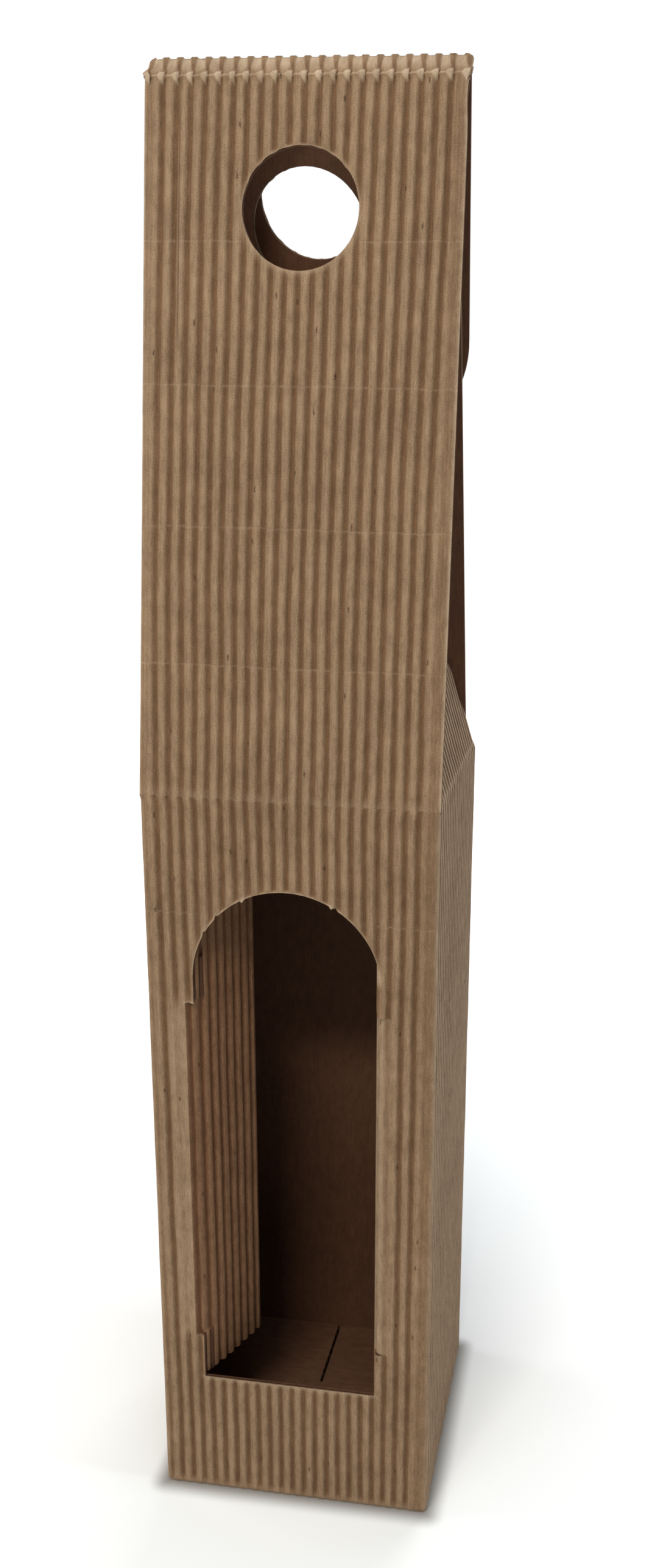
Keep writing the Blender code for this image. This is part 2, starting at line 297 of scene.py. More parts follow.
class Sheet:
    """A sheet of paper as blocks of a grid over (u, v), welded where the blocks meet."""

    def __init__(self):
        self.places = []
        self.quads = []
        self.count = 0

    def block(self, columns, rows, low=None, high=None):
        """Rows over columns; the first and last row bend to low and high, the others in proportion."""
        part = (rows - rows[0]) / (rows[-1] - rows[0])
        low = np.full(columns.shape, rows[0]) if low is None else low
        high = np.full(columns.shape, rows[-1]) if high is None else high
        v = low[None, :] + part[:, None] * (high - low)[None, :]
        u = np.broadcast_to(columns, v.shape)
        self.places.append(np.stack([u.ravel(), v.ravel()], axis=1))
        self.quads.append(grid_quads(v.shape, self.count))
        self.count += v.size
        return self

    def blocks(self, columns, rows, spans):
        """Plain blocks over the same columns, one for each span of the rows."""
        for low, high in spans:
            self.block(columns, between(rows, low, high))

    def weld(self):
        """One vertex for each place; a quad that a weld closes on one side is a triangle."""
        places = np.concatenate(self.places)
        quads = np.concatenate(self.quads)
        keys = np.round(places / WELD).astype(np.int64)
        first, inverse = np.unique(keys, axis=0, return_index=True, return_inverse=True)[1:]
        quads = inverse.reshape(-1)[quads]
        places = places[first]
        repeat = quads == np.roll(quads, -1, axis=1)
        whole = quads[~repeat.any(axis=1)]
        pinched = quads[repeat.sum(axis=1) == 1]
        hold = repeat[repeat.sum(axis=1) == 1]
        triangles = pinched[~hold].reshape(-1, 3)
        return places[:, 0], places[:, 1], whole, triangles


def sheet_with_hole(columns, rows, centre_u, centre_v, radius):
    """A sheet from columns and rows with a round hole, its rim on grid lines that bend round it."""
    middle = between(columns, centre_u - radius, centre_u + radius)
    foot = centre_v - radius - HOLE_MARGIN
    head = centre_v + radius + HOLE_MARGIN
    chord = half_chord(middle - centre_u, radius)
    sheet = Sheet()
    sheet.block(between(columns, columns[0], centre_u - radius), rows)
    sheet.block(between(columns, centre_u + radius, columns[-1]), rows)
    sheet.block(middle, between(rows, rows[0], foot))
    sheet.block(middle, between(rows, foot, centre_v), high=centre_v - chord)
    sheet.block(middle, between(rows, centre_v, head), low=centre_v + chord)
    if head < rows[-1] - 1e-3:
        sheet.block(middle, between(rows, head, rows[-1]))
    return sheet


def flute_centre(s):
    """Sideways place of the middle flute: it drifts left half way up the handle and right at its top."""
    return -0.6 - 0.4 * ease(1.0 - np.abs(s - 285.0) / 60.0) + 0.9 * ease((s - 320.0) / 90.0)


def flute_pitch(s):
    """The flutes spread evenly from 3.50 mm at the floor to 3.65 mm at the ridge."""
    return 3.50 + 0.15 * s / 405.0


def flute_phase(u, s, turn=0.0):
    """Place across the flutes counted in flutes: whole in a valley, a half on a crest."""
    wander = 0.045 * ripple(u, s, 23.0, turn + 0.7) + 0.02 * ripple(u, s, 7.0, turn)
    return (u - flute_centre(s)) / flute_pitch(s) + wander


def flute_wave(phase):
    """Depth of a flute from 0 on the crest to 1 in the valley, and how pale its crest is.

    The depth is the absolute cosine of the phase to a power, less a small bell on the left
    flank, where the paper was pressed over the teeth of the roller. The paling is a bell right
    of the middle of the crest: partly rubbed paper, partly a painted highlight of light from the right.
    """
    part = phase - np.floor(phase)
    dip = np.abs(np.cos(math.pi * phase)) ** FLUTE_POWER - 0.13 * bell(part - 0.22, 0.07)
    rub_and_highlight = bell(part - 0.56, 0.13)
    return dip, rub_and_highlight


def pressed_lens(phase, distance):
    """Buckled paper where the flutes are bent, over the phase and the distance from the crease.

    Right of each flute's middle the paper bulges out in a lens, widest on the crease and
    gone 2.6 mm from it. A sharp pinch stands in each valley, and the rest is flat.
    """
    part = phase - np.floor(phase)
    edge = 0.42 + 0.48 * ease(np.abs(distance) / 2.6)
    lens = ease((part - edge) / 0.14) * (1.0 - ease((part - 0.955) / 0.03))
    pinch = bell(np.minimum(part, 1.0 - part), 0.045)
    return lens, pinch


def add_object(name, data):
    """An object in the scene that holds a mesh, a lamp or a camera."""
    made = bpy.data.objects.new(name, data)
    bpy.context.scene.collection.objects.link(made)
    return made


def save_piece(panel, kind, points, quads, triangles, fields, look, body, replaces):
    """Make the object in metres: mesh, attributes, paper thickness inward, materials, and its body."""
    thickness, ending, slot = PAPERS[kind]
    name = panel + "_" + kind
    mesh = bpy.data.meshes.new(name)
    mesh.from_pydata((points * MM).tolist(), [], quads.tolist() + triangles.tolist())
    mesh.shade_smooth()
    uses = np.zeros(len(mesh.loops), dtype=np.int32)
    mesh.loops.foreach_get("edge_index", uses)
    border = np.bincount(uses, minlength=len(mesh.edges)) == 1
    mesh.attributes.new("sharp_edge", "BOOLEAN", "EDGE").data.foreach_set("value", border)
    for label, values in fields.items():
        if values.ndim == 2:
            values = np.ascontiguousarray(values * MM, dtype=np.float32).ravel()
            mesh.attributes.new(label, "FLOAT_VECTOR", "POINT").data.foreach_set("vector", values)
        else:
            values = np.ascontiguousarray(values, dtype=np.float32)
            mesh.attributes.new(label, "FLOAT", "POINT").data.foreach_set("value", values)
    mesh.materials.append(LOOKS[look])
    if kind == "flutes":
        mesh.materials.append(LOOKS["cut"])
    piece = add_object(name, mesh)
    wall = piece.modifiers.new("paper", "SOLIDIFY")
    wall.thickness = thickness * MM
    wall.offset = -1.0
    wall.material_offset_rim = 1
    wall.use_quality_normals = False
    if isinstance(body, tuple):
        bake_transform(piece)
    else:
        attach(piece, body)
    if replaces:
        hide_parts(panel + ending)


def corner_limit(half):
    """Place of the 45 degree line of a rounded corner, measured along the paper."""
    return half - CORNER + CORNER * math.pi / 4


class Panel:
    """One panel of the blank: its board, the rules of its flutes, and how its edges meet others."""

    corner_half = None
    top_join = None
    margin = None
    taper = None
    shape = None
    right_flat = 0.0
    foot_tuck = 0.0
    stain = 0.0
    shift = 0.0
    creases = ()
    mitres = ()
    holes = ()
    scores = ()
    cuts = ()
    fluting = "fluting"
    lining = "lining"

    def __init__(self, name, board, body, **rules):
        self.name = name
        self.board = board
        self.body = body
        for rule, value in rules.items():
            setattr(self, rule, value)

    def relief(self, u, v):
        """Height w of the fluted face, with the dip and the wear that the paper shows there; both also carry
        painted shade and painted highlights.
        """
        s = v + self.board.start
        turn = self.board.turn
        inward = HALF_WIDTH - u
        phase = flute_phase(u + self.shift, s, turn)
        for place in self.creases:
            phase = phase - 0.12 * bell(v - place, 2.4)
        dip, rub_and_highlight = flute_wave(phase)
        fade = np.ones(u.shape)
        drop = np.zeros(u.shape)
        wear = 0.11 * rub_and_highlight
        if self.corner_half is not None:
            fade = ease((self.corner_half - 0.9 - np.abs(u)) / 1.9)
        if self.margin is not None:
            low, high, left_fade, right_fade = self.margin
            cut_fade = 1.0 - left_fade * ease(1.0 - (u - low) / 5.0)
            cut_fade = cut_fade * (1.0 - right_fade * ease(1.0 - (high - u) / 4.0))
            edge = np.minimum(u - low, high - u)
            near_cut = np.maximum(1.0 - edge / 1.7, 0.0)
            lines = bell(edge - 0.9, 0.2) + 0.8 * bell(edge - 2.1, 0.22)
            share = 1.0 if self.top_join is None else ease(1.0 - (self.top_join - v) / 6.0)
            fade = passing(fade, cut_fade, share)
            drop += 0.55 * near_cut ** 2 * share
            drop += 0.07 * lines * share
            wear += (0.25 * near_cut + 0.55 * bell(edge, 0.25) - 0.22 * lines) * share
        # Beside the right edge the paper is pressed flat, and its two pressed lines are painted darker:
        # painted shade.
        if self.right_flat > 0.0:
            fade = fade * (0.12 + 0.88 * ease((inward - self.right_flat) / 2.0))
            pressed = bell(inward - 2.9, 0.25) + 0.8 * bell(inward - 4.9, 0.3)
            drop += 0.06 * pressed
            wear -= 0.15 * pressed
        for score in self.scores:
            wobble = 0.2 * ripple(u, s, 11.0, score * 0.9)
            near = bell(s - score - wobble, 0.24)
            drop += 0.10 * near * (1.0 - dip)
            wear += 0.5 * near * (0.35 + 0.65 * dip) * (0.7 + 0.5 * ripple(u, s, 3.0, score * 0.7))
        for rim in self.rims(u, v):
            near = bell(rim, 1.1)
            drop += 0.30 * near * (1.0 - 0.5 * dip)
            dip = dip * (1.0 - 0.85 * near)
            wear += 0.30 * bell(rim, 0.9)
        if self.foot_tuck > 0.0:
            fade = fade * (0.12 + 0.88 * ease((v - 0.2) / 3.0))
        depth = FLUTE_DEPTH * (0.96 + 0.04 * ripple(u, s, 31.0, turn + 5.0))
        w = -depth * dip * fade + 0.05 * ripple(u, s, 9.0, turn + 1.9)
        # Higher up the side walls and gussets, the valleys are painted darker and the crests paler: painted
        # shade and highlight for the grazing light.
        strong = self.stain * ease((s - 100.0) / 110.0)
        wear += 0.3 * strong * rub_and_highlight * fade
        dip = np.minimum(dip * fade * (1.0 + strong), 1.0)
        # The flat band by the right edge takes the valleys' dark colour: painted shade where it turns toward
        # the corner.
        if self.right_flat > 0.0:
            shaded_band = ease((inward - 0.5) / 0.8) * (1.0 - ease((inward - self.right_flat) / 1.5))
            dip = np.maximum(dip, 0.42 * shaded_band)
        # At a crease the lenses are painted pale, a painted highlight where they face the light, and the
        # pinches and flat parts between them are painted darker, as painted shade.
        for place in self.creases:
            distance = v - place
            near = bell(distance, 1.5)
            lens, pinch = pressed_lens(phase, distance)
            flat = 0.32 * lens * bell(distance, 2.6) - 0.22 - 0.60 * pinch
            w = passing(w, flat, near)
            w += 0.14 * lens * bell(distance, 2.6) * (1.0 - near)
            line = bell(distance, 0.22) * (1.0 - lens)
            dip = passing(dip, 0.8 * pinch + 0.32 * (1.0 - lens) * (1.0 - line), near)
            wear = wear * (1.0 - near) + 1.3 * lens * bell(distance, 2.8) + 0.8 * line
            wear -= 1.1 * pinch * bell(np.abs(distance) - 0.9, 0.8)
        if self.shape is not None:
            w, dip, wear = self.shape(phase, u, v, w, dip, wear)
        tuck = self.foot_tuck * np.maximum(1.0 - v / 1.8, 0.0) ** 2
        return w - drop - tuck, np.clip(dip, 0.0, 1.0), np.clip(wear, -1.0, 1.0)

    def rims(self, u, v):
        """Distances from the cut edges that crush the flutes: round holes and listed functions."""
        found = []
        for hole_u, hole_v, radius in self.holes:
            upper = ease((v - hole_v) / radius + 0.4)
            found.append(np.maximum(np.hypot(u - hole_u, v - hole_v) - radius, 0.0) * (1.0 + 2.0 * upper))
        for rule in self.cuts:
            found.append(np.maximum(rule(u, v), 0.0))
        return found

    def place(self, u, v, w):
        """World points: mitred ends, tapered sides, and corners rounded by 45 degrees."""
        for end, slope in self.mitres:
            near = ease(1.0 - np.abs(v - end) / 4.0)
            v = v - np.sign(end - 0.01) * slope * (-w) * near
        if self.taper is not None:
            u = self.taper(u, v)
        if self.corner_half is None:
            return self.board.point(u, v, w)
        flat_half = self.corner_half - CORNER
        past = np.maximum(np.abs(u) - flat_half, 0.0)
        angle = past / CORNER
        radius = CORNER + w
        across = np.where(past > 0, flat_half + radius * np.sin(angle), np.abs(u)) * np.sign(u)
        height = np.where(past > 0, radius * np.cos(angle) - CORNER, w)
        if self.top_join is not None:
            open_up = ease(1.0 - (self.top_join - v) / 2.0)
            wide = u * self.corner_half / corner_limit(self.corner_half)
            across = passing(across, wide, open_up)
            height = passing(height, w, open_up)
        return self.board.point(across, v, height)

    def make(self, flutes, lining):
        """Both papers of the panel, each replacing its CAD node."""
        turn = self.board.turn * CHART_TURN
        for kind, sheet, look in (("flutes", flutes, self.fluting), ("lining", lining, self.lining)):
            u, v, quads, triangles = sheet.weld()
            plain = np.zeros(u.shape)
            if kind == "flutes":
                w, dip, wear = self.relief(u, v)
                side = 0.0
            else:
                w, dip, wear = plain - LINING_DROP, plain, plain
                side = CHART_SIDE
            chart = np.stack([u + turn + side, v + self.board.start, plain + turn], axis=1)
            fields = {"chart": chart, "dip": dip, "wear": wear}
            save_piece(self.name, kind, self.place(u, v, w), quads, triangles, fields, look, self.body, True)


# Rows where the foot of a wall is tucked in
FOOT_ROWS = around(1.6, 1.6, 0.25)


def make_front_panel():
    """The front wall with its window: straight rows beside it, an arch over it, ears at its folds."""
    limit = corner_limit(HALF_WIDTH)
    arch_left = ARCH_CENTRE - half_chord(ARCH_FOOT - SPRING, ARCH_RADIUS)
    marks = [SILL, FOLD_FOOT, FOLD_HEAD, SPRING, ARCH_FOOT, ARCH_CAP]

    def arch(x):
        """The cut of the arch, with two scraps that were left hanging and three small nicks."""
        scraps = 0.8 * bell(x + 13.1, 0.4) + 0.65 * bell(x - 11.6, 0.35)
        nicks = 0.7 * bell(x + 20.6, 0.3) + 0.8 * bell(x + 24.2, 0.25) + 0.6 * bell(x - 12.9, 0.4)
        return SPRING + half_chord(x - ARCH_CENTRE, ARCH_RADIUS) - (scraps - nicks)

    def below_sill(u, v):
        """Distance down from the sill, counted from its ends beside the window."""
        beside = np.maximum(np.maximum(EAR_LEFT - u, u - EAR_RIGHT), 0.0)
        return np.where(v > SILL + 0.01, FAR, np.hypot(beside, SILL - v))

    def from_arch(u, v):
        """Distance out from the arch, counted a little over twice as fast as it is."""
        return np.where(v > SPRING, (np.hypot(u - ARCH_CENTRE, v - SPRING) - ARCH_RADIUS) * 2.6, FAR)

    def beside_window(phase, u, v, w, dip, wear):
        """Paper pulled flat beside the left fold, and the light cut edges of the arch and the ear."""
        rows_pulled = ease((v - FOLD_FOOT) / 5.0 + 0.5) * ease((FOLD_HEAD - v) / 5.0 + 0.5)
        flat = 0.8 * ease((u + 36.0) / 2.5) * ease(-24.0 - u) * rows_pulled
        ear = bell(v - FOLD_HEAD - 0.2, 0.35) * ease(-26.0 - u) * ease(u + 31.0)
        uneven = 0.6 + 0.6 * ripple(u, v, 9.0, 3.3)
        outside = from_arch(u, v)
        torn = sum(bell(u - place, 0.7) for place in TORN_PLACES)
        light = 0.9 * ear + 0.45 * uneven * bell(outside, 0.6) + 0.8 * torn * bell(outside, 2.0)
        return w * (1.0 - flat), dip * (1.0 - flat), wear + light + 0.15 * flat

    def window_sheet(column_step, row_step, extras):
        """Blocks beside, under and over the window, with a row on each of its marks."""
        rows = with_marks(spread(0.0, SHOULDER, row_step, np.concatenate(extras + [marks])), marks)
        curve = ARCH_CENTRE + ARCH_RADIUS * np.sin(np.linspace(-1.5, 1.5, 70))
        columns = spread(-limit, limit, column_step, curve)
        under = (0.0, SILL)
        over = [(ARCH_FOOT, ARCH_CAP), (ARCH_CAP, SHOULDER)]
        beside = [under, (SILL, FOLD_FOOT), (FOLD_HEAD, SPRING), (SPRING, ARCH_FOOT)] + over
        sheet = Sheet()
        sheet.block(between(columns, -limit, FOLD_LEFT), rows)
        sheet.block(between(columns, FOLD_RIGHT, limit), rows)
        for left, right in ((FOLD_LEFT, EAR_LEFT), (EAR_RIGHT, FOLD_RIGHT)):
            sheet.blocks(between(columns, left, right), rows, beside)
        horn = between(columns, EAR_LEFT, arch_left)
        sheet.blocks(horn, rows, [under] + over)
        sheet.block(horn, between(rows, SPRING, ARCH_FOOT), low=np.minimum(arch(horn), ARCH_FOOT))
        span = between(columns, arch_left, EAR_RIGHT)
        low = arch(span)
        low[[0, -1]] = ARCH_FOOT
        sheet.blocks(span, rows, [under, over[1]])
        sheet.block(span, between(rows, ARCH_FOOT, ARCH_CAP), low=low)
        return sheet

    panel = Panel("front_panel", Board(-BACK * HALF_DEPTH, UP, -BACK), "body",
                  corner_half=HALF_WIDTH, foot_tuck=FOOT_TUCK, scores=SCORES[:2], margin=CUT_SIDES,
                  right_flat=3.3, top_join=SHOULDER, mitres=[(SHOULDER, math.tan(HANDLE_LEAN / 2))],
                  cuts=[below_sill, from_arch], shape=beside_window)
    fine = [FOOT_ROWS, SILL - np.array([0.25, 0.5, 0.8, 1.2, 1.7, 2.3]),
            ARCH_FOOT + np.array([0.35, 0.8, 1.5]), around(FOLD_HEAD, 0.8, 0.25)]
    fine += [around(score, 0.6, 0.2) for score in panel.scores]
    panel.make(window_sheet(FRONT_STEP, 2.6, fine), window_sheet(SMOOTH_STEP, SMOOTH_ROW, []))
    return panel


def corner_lines(phase, u, v, w, dip, wear):
    """Valleys painted darker and crests painted paler beside the front corner, most at the shoulder, with a
    small dark dent near the corner: painted shade and highlight.
    """
    high = ease((v - 60.0) / 150.0)
    near = ease(1.0 - (HALF_DEPTH - np.abs(u)) / 26.0) * (0.3 + 0.7 * high)
    crease = bell(HALF_DEPTH - np.abs(u) - 1.9, 0.25)
    wear = wear - near * (1.1 * dip ** 2 - 0.25) - 0.4 * crease * high
    return w - 0.12 * crease * high, dip, wear


def make_plain_wall(name, board, half, top, **rules):
    """A wall with rounded corners on both sides."""
    panel = Panel(name, board, "body", corner_half=half, foot_tuck=FOOT_TUCK, **rules)
    limit = corner_limit(half)
    columns = spread(-limit, limit, WALL_STEP)
    smooth = spread(-limit, limit, SMOOTH_STEP, [-limit + 0.6, limit - 0.6])
    panel.make(Sheet().block(columns, spread(0.0, top, 4.0, FOOT_ROWS)),
               Sheet().block(smooth, spread(0.0, top, 8.0)))
    return panel


def make_walls():
    """The four walls and the glue tab inside the left one."""
    front = make_front_panel()
    make_plain_wall("back_panel", Board(BACK * HALF_DEPTH, UP, BACK, turn=2.0), HALF_WIDTH, SHOULDER)
    sides = {}
    for label, outward, turn in (("right", RIGHT, 3.0), ("left", -RIGHT, 4.0)):
        board = Board(outward * HALF_WIDTH, UP, outward, turn=turn)
        sides[label] = make_plain_wall(label + "_panel", board, HALF_DEPTH, SHOULDER - GUSSET_FOLD_LOW,
                                       stain=2.0, shape=corner_lines)
    tab = Panel("glue_tab", Board(-RIGHT * INNER_WIDTH, UP, -RIGHT, turn=5.0), "body")
    columns = spread(INNER_DEPTH - TAB_WIDTH, INNER_DEPTH, FLOOR_STEP)
    rows = spread(TAB_FOOT, SHOULDER - TAB_FOOT, SMOOTH_ROW)
    tab.make(Sheet().block(columns, rows), Sheet().block(columns[::6], rows))
    return front, sides


def make_floor():
    """Four floor flaps, as in the CAD model: the rear one lowest, the front one on top."""
    side_lift = UP * SIDE_FLAP_HEIGHT
    flaps = (
        ("rear", BACK * INNER_DEPTH, -BACK, INNER_WIDTH, REAR_FLAP_REACH),
        ("right", RIGHT * INNER_WIDTH + side_lift, -RIGHT, INNER_DEPTH,
         INNER_WIDTH - FLOOR_SLIT_X - FLOOR_SLIT_HALF),
        ("left", -RIGHT * INNER_WIDTH + side_lift, RIGHT, INNER_DEPTH,
         INNER_WIDTH + FLOOR_SLIT_X - FLOOR_SLIT_HALF),
        ("front", -BACK * INNER_DEPTH + UP * FRONT_FLAP_HEIGHT, BACK, INNER_WIDTH, FRONT_FLAP_REACH),
    )
    for i, (label, origin, along, half, reach) in enumerate(flaps):
        panel = Panel(label + "_floor_flap", Board(origin, along, -UP, turn=6.0 + i), "body")
        rows = spread(0.0, reach, SMOOTH_ROW)
        panel.make(Sheet().block(spread(-half, half, FLOOR_STEP), rows),
                   Sheet().block(spread(-half, half, SMOOTH_STEP), rows))


def fan_band(phase, share):
    """The crest that stands up at the rear edge of the ridge; it opens from the pinch of each lens."""
    near = phase - np.round(phase)
    return ease((0.23 * share + 0.02 - np.abs(near + 0.13 * share)) / 0.12 + 0.5) * ease(share / 0.15)


def ridge_fan(phase, u, v, w, dip, wear):
    """Flutes of the ridge: lenses at the front crease turn into low crests at the rear one."""
    share = np.clip(v / RIDGE_LENGTH, 0.0, 1.0)
    band = fan_band(phase, share)
    top = ease(share / 0.9)
    # The low crests are painted dark and the paper between them pale: painted shade and highlight.
    dark = band * (0.75 - 0.3 * share)
    dip = dip * (1.0 - top) + dark * ease(share / 0.3)
    return passing(w, 0.24 * band + 0.02, top), dip, passing(wear, 0.8 * (1.0 - band), top)


def closure_bend_shape(phase, u, v, w, dip, wear):
    """Over the rear crease the low crests of the ridge fade into the flutes of the closure flap."""
    near = bell(v, 2.5)
    band = fan_band(phase, np.ones(v.shape))
    # The same painted shade on the crests, with painted highlight between them.
    return (passing(w, 0.24 * band + 0.02, near), passing(dip, 0.4 * band, near),
            passing(wear, 0.3 * (1.0 - band), near))


def ridge_edges(u, v):
    """The cut ends of the ridge stand out a little, most near the front crease."""
    right = (0.25 + 0.2 * ease(v / 1.6)) * ease((u - 36.0) / 5.0)
    left = 0.9 * ease((-u - 36.0) / 5.0) * bell(v - 1.7, 1.2)
    return u + right - left


def handle_edges(u, v):
    """The right cut edge of the handle flares into the ridge and is drawn in just under it."""
    below = HANDLE_LENGTH - v
    flare = 0.33 * bell(below, 1.4) - 0.35 * bell(below - 6.0, 5.0)
    return u + ease((u - 36.0) / 5.0) * flare


def handle_dark_line(phase, u, v, w, dip, wear):
    """A thin dark line down the second valley from the left, where the valley is a little deeper."""
    line = bell(u + 32.1 - 0.6 * v / HANDLE_LENGTH, 0.16) * ease((v - 109.0) / 14.0)
    return w - 0.15 * line, dip, wear - 0.8 * line


def make_handle():
    """Front handle panel, ridge strip, closure flap and rear handle panel."""
    ridge_bend = math.tan((RIDGE_TILT - HANDLE_LEAN) / 2)
    board = lean_board(UP * SHOULDER - BACK * HALF_DEPTH, HANDLE_LEAN, SHOULDER)
    hole = (HOLE_SHIFT, HANDLE_LENGTH - HOLE_DROP, HOLE_RADIUS)
    handle = Panel("front_handle_panel", board, "front_handle", scores=SCORES[1:],
                   creases=[HANDLE_LENGTH], taper=handle_edges, shape=handle_dark_line, margin=CUT_SIDES,
                   mitres=[(0.0, math.tan(HANDLE_LEAN / 2)), (HANDLE_LENGTH, ridge_bend)],
                   right_flat=2.2, holes=[hole])
    curve = arc_columns(HOLE_SHIFT, HOLE_RADIUS)
    edges = [around(side * HALF_WIDTH, 1.6, 0.2) for side in (-1, 1)]
    columns = spread(-HALF_WIDTH, HALF_WIDTH, FRONT_STEP, np.concatenate([curve] + edges))
    fine = [around(score - SHOULDER, 0.6, 0.2) for score in SCORES[2:]]
    fine.append(HANDLE_LENGTH - np.array([0.15, 0.3, 0.5, 0.7, 0.9, 1.15, 1.4, 1.7, 2.1, 2.5, 3.0, 3.6]))
    rows = spread(0.0, HANDLE_LENGTH, 2.8, np.concatenate(fine))
    smooth = spread(-HALF_WIDTH, HALF_WIDTH, SMOOTH_STEP, curve[::2])
    handle.make(sheet_with_hole(columns, rows, *hole),
                sheet_with_hole(smooth, spread(0.0, HANDLE_LENGTH, SMOOTH_ROW), *hole))

    ridge_board = lean_board(board.point(0.0, HANDLE_LENGTH), RIDGE_TILT, SHOULDER + HANDLE_LENGTH)
    closure_crease = ridge_board.point(0.0, RIDGE_LENGTH)
    rear_crease = UP * SHOULDER + BACK * HALF_DEPTH
    reach = closure_crease - rear_crease
    rear_lean = (math.atan2(-reach[1], reach[2])
                 + math.asin((BOARD + HOOK_CLEARANCE) / np.linalg.norm(reach)))
    closure_tilt = math.pi - rear_lean
    closure_bend = math.tan((closure_tilt - RIDGE_TILT) / 2)
    ridge = Panel("ridge_strip", ridge_board, "ridge", creases=[0.0], shape=ridge_fan, taper=ridge_edges,
                  mitres=[(0.0, ridge_bend), (RIDGE_LENGTH, closure_bend)], margin=CUT_SIDES)
    rows = spread(0.0, RIDGE_LENGTH, 0.3)
    ridge.make(Sheet().block(columns, rows), Sheet().block(smooth, rows[::4]))

    shrink = CLOSURE_HALF_END / HALF_WIDTH
    arc_top = CLOSURE_LENGTH - CLOSURE_CORNER
    flat_half = CLOSURE_HALF_END - CLOSURE_CORNER
    corner_u = (flat_half + CLOSURE_CORNER * np.sin(np.linspace(0.0, math.pi / 2, 40))) / shrink
    hole = (0.0, CLOSURE_HOLE_DROP, HOLE_RADIUS)

    def narrow(u, v):
        """The sides draw in evenly down to the rounded corners."""
        return u * (1.0 - (1.0 - shrink) * np.clip(v / arc_top, 0.0, 1.0))

    def closure_sheet(step, row_step, curve, extras):
        """The part with the hole, and under it the end with its two round corners."""
        columns = spread(-HALF_WIDTH, HALF_WIDTH, step, np.concatenate([curve, -corner_u, corner_u]))
        sheet = sheet_with_hole(columns, spread(0.0, arc_top, row_step, extras), *hole)
        past = np.maximum(np.abs(columns) * shrink - flat_half, 0.0)
        end = arc_top + half_chord(past, CLOSURE_CORNER)
        return sheet.block(columns, spread(arc_top, CLOSURE_LENGTH, row_step), high=end)

    closure_board = lean_board(closure_crease, closure_tilt, SHOULDER + HANDLE_LENGTH + RIDGE_LENGTH)
    closure = Panel("closure_flap", closure_board, "closure", shape=closure_bend_shape, taper=narrow,
                    mitres=[(0.0, closure_bend)], margin=TRIMMED_SIDES, holes=[hole], lining="outer_lining")
    curve = arc_columns(0.0, HOLE_RADIUS)
    fine = [0.15, 0.3, 0.5, 0.7, 0.9, 1.2, 1.5, 1.9, 2.4, 3.0]
    closure.make(closure_sheet(WALL_STEP, 3.0, curve, fine),
                 closure_sheet(SMOOTH_STEP, SMOOTH_ROW, curve[::2], []))

    along = UP * math.cos(rear_lean) - BACK * math.sin(rear_lean)
    outward = BACK * math.cos(rear_lean) + UP * math.sin(rear_lean)
    hole_v = (closure_board.point(0.0, CLOSURE_HOLE_DROP) - rear_crease) @ along - HOOK_SLACK
    hole = (REAR_HOLE_U, hole_v, HOLE_RADIUS)
    rear = Panel("rear_handle_panel", Board(rear_crease, along, outward, SHOULDER, turn=2.0), "rear_handle",
                 margin=(REAR_LEFT, REAR_RIGHT, 0.5, 0.5), holes=[hole], lining="outer_lining")
    curve = arc_columns(REAR_HOLE_U, HOLE_RADIUS)
    top = hole_v + HOLE_RADIUS + REAR_TOP_MARGIN
    rear.make(*[sheet_with_hole(spread(REAR_LEFT, REAR_RIGHT, step, places), spread(0.0, top, row), *hole)
                for step, row, places in ((WALL_STEP, 4.0, curve), (SMOOTH_STEP, SMOOTH_ROW, curve[::2]))])
    return rear_lean


def bend(start, start_pull, end_pull, end, t):
    """Cubic curves over a fold, one for each row, from start to end with two pull points, at t."""
    start, start_pull, end_pull, end = [rows[:, None, :] for rows in (start, start_pull, end_pull, end)]
    t = t[None, :, None]
    return ((1 - t) ** 3 * start + 3 * t * (1 - t) ** 2 * start_pull
            + 3 * t * t * (1 - t) * end_pull + t ** 3 * end)


def bend_strip(name, outer, inner, normal, fields, bodies, fluting="fluting"):
    """Both papers of a strip bent over a fold.

    outer and inner are grids of points, with rows along the fold and columns across it,
    and normal is the outward direction at each of them.
    """
    count = outer.shape[0] * outer.shape[1]
    quads = grid_quads(outer.shape[:2])
    middle = outer.shape[0] // 2
    face = np.cross(outer[middle + 1, 1] - outer[middle, 1], outer[middle, 1] - outer[middle, 0])
    if face @ normal[middle, 0] > 0:
        quads = quads[:, ::-1]
    none = np.zeros((0, 3), dtype=int)
    plain = np.zeros(count)
    fields = {label: values.reshape(count, -1).squeeze() for label, values in fields.items()}
    save_piece(name, "flutes", outer.reshape(-1, 3), quads, none, fields, fluting, bodies, False)
    fields = dict(fields, dip=plain, wear=plain)
    save_piece(name, "lining", inner.reshape(-1, 3), quads, none, fields, "lining", bodies, False)


def blended_normals(first, last, t, rows):
    """Unit normals that turn from the first board's to the last one's across a strip."""
    share = ease(t)[None, :, None]
    normal = passing(first.outward, last.outward, share)
    normal = normal / np.linalg.norm(normal, axis=-1, keepdims=True)
    return np.broadcast_to(normal, (rows, len(t), 3))


def leaf_top(x):
    """Height of the arched top of a leaf at a distance from its hinge, less a nick where a scrap tore off."""
    nicks = bell(x - LEFT_NICK, 0.8) + bell(x + RIGHT_NICK, 0.7)
    return SPRING + half_chord(LEAF_WIDTH - np.abs(x), LEAF_ARCH - LEAF_GAP) - 0.8 * nicks


